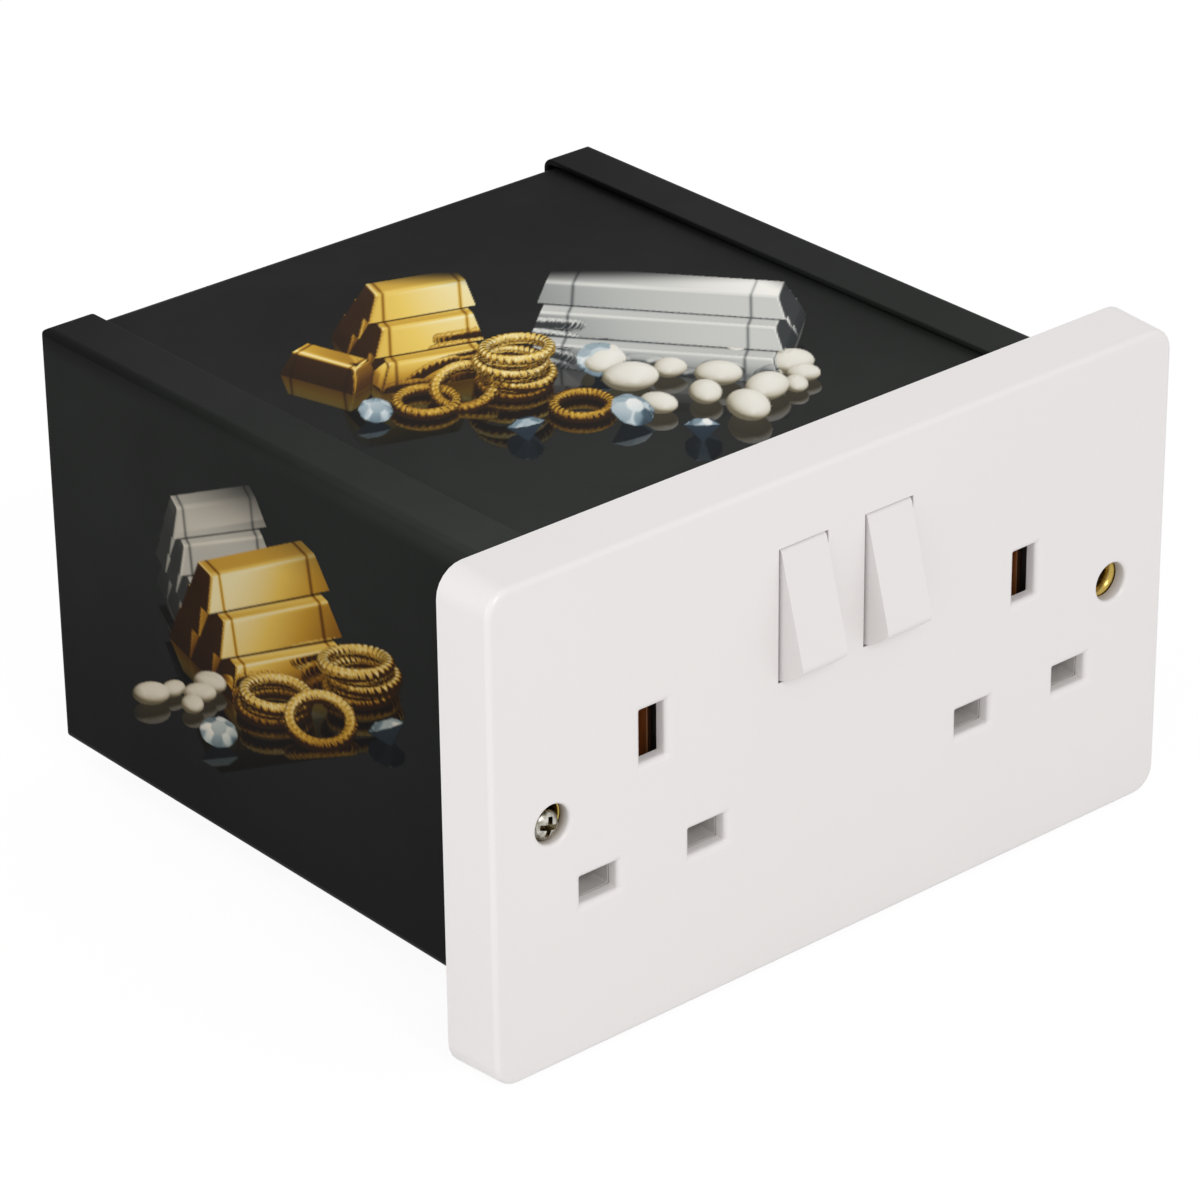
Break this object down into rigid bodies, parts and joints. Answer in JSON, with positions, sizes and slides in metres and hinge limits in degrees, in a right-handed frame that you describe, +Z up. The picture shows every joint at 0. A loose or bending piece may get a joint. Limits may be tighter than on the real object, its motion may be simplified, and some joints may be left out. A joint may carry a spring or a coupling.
{
  "type": "diversion safe",
  "caption": "Hidden wall safe: a locking drawer behind an imitation switched wall-socket front, sliding out of a folded steel box.",
  "frame": {"origin": "centre of the underside of the bounding box with the drawer shut", "axes": "+X to the right seen from the front, +Y from the socket front into the wall, +Z up"},
  "size_m": [0.146, 0.1362, 0.087],
  "materials": {
    "white_plastic": "satin moulded",
    "grey_plastic": "matt moulded",
    "black_plastic": "matt moulded",
    "black_steel": "satin black powder coat",
    "bright_steel": "zinc plated",
    "brass": "turned",
    "copper": "phosphor bronze strip"
  },
  "bodies": {
    "casing": {"wrap_panel": "black_steel", "side_plate_left": "black_steel", "side_plate_right": "black_steel", "front_frame": "black_steel", "lock_keeper": "bright_steel", "keeper_rivet_lower": "bright_steel", "keeper_rivet_upper": "bright_steel", "glide_left": "grey_plastic", "glide_right": "grey_plastic"},
    "drawer": {"faceplate": "white_plastic", "drawer_tray": "black_steel", "tray_screw_1": "bright_steel", "tray_screw_2": "bright_steel", "tray_screw_3": "bright_steel", "tray_screw_4": "bright_steel", "rocker_cradle": "black_plastic", "bush_left": "brass", "bush_right": "brass", "fixing_screw": "bright_steel", "pin_pockets_left": "grey_plastic", "pin_pockets_right": "grey_plastic", "earth_housing_left": "black_plastic", "earth_housing_right": "black_plastic", "earth_contact_left": "copper", "earth_contact_right": "copper", "detent_leaf_left": "bright_steel", "detent_leaf_right": "bright_steel"},
    "lock": {"lock_barrel": "brass", "lock_cam": "bright_steel", "cam_nut": "bright_steel"},
    "left_rocker": {"rocker_left": "white_plastic"},
    "right_rocker": {"rocker_right": "white_plastic"}
  },
  "joints": [
    {"name": "drawer_slide", "type": "slide", "parent": "casing", "child": "drawer", "axis": [0, -1, 0], "range_m": [0, 0.1127]},
    {"name": "lock_turn", "type": "hinge", "parent": "drawer", "child": "lock", "pos_m": [0.0603, -0.0557, 0.0435], "axis": [0, 1, 0], "range_deg": [0, 90]},
    {"name": "left_rocker_rock", "type": "hinge", "parent": "drawer", "child": "left_rocker", "pos_m": [-0.0091, -0.0593, 0.06295], "axis": [1, 0, 0], "range_deg": [0, 31]},
    {"name": "right_rocker_rock", "type": "hinge", "parent": "drawer", "child": "right_rocker", "pos_m": [0.0091, -0.0593, 0.06295], "axis": [1, 0, 0], "range_deg": [0, 31]}
  ]
}
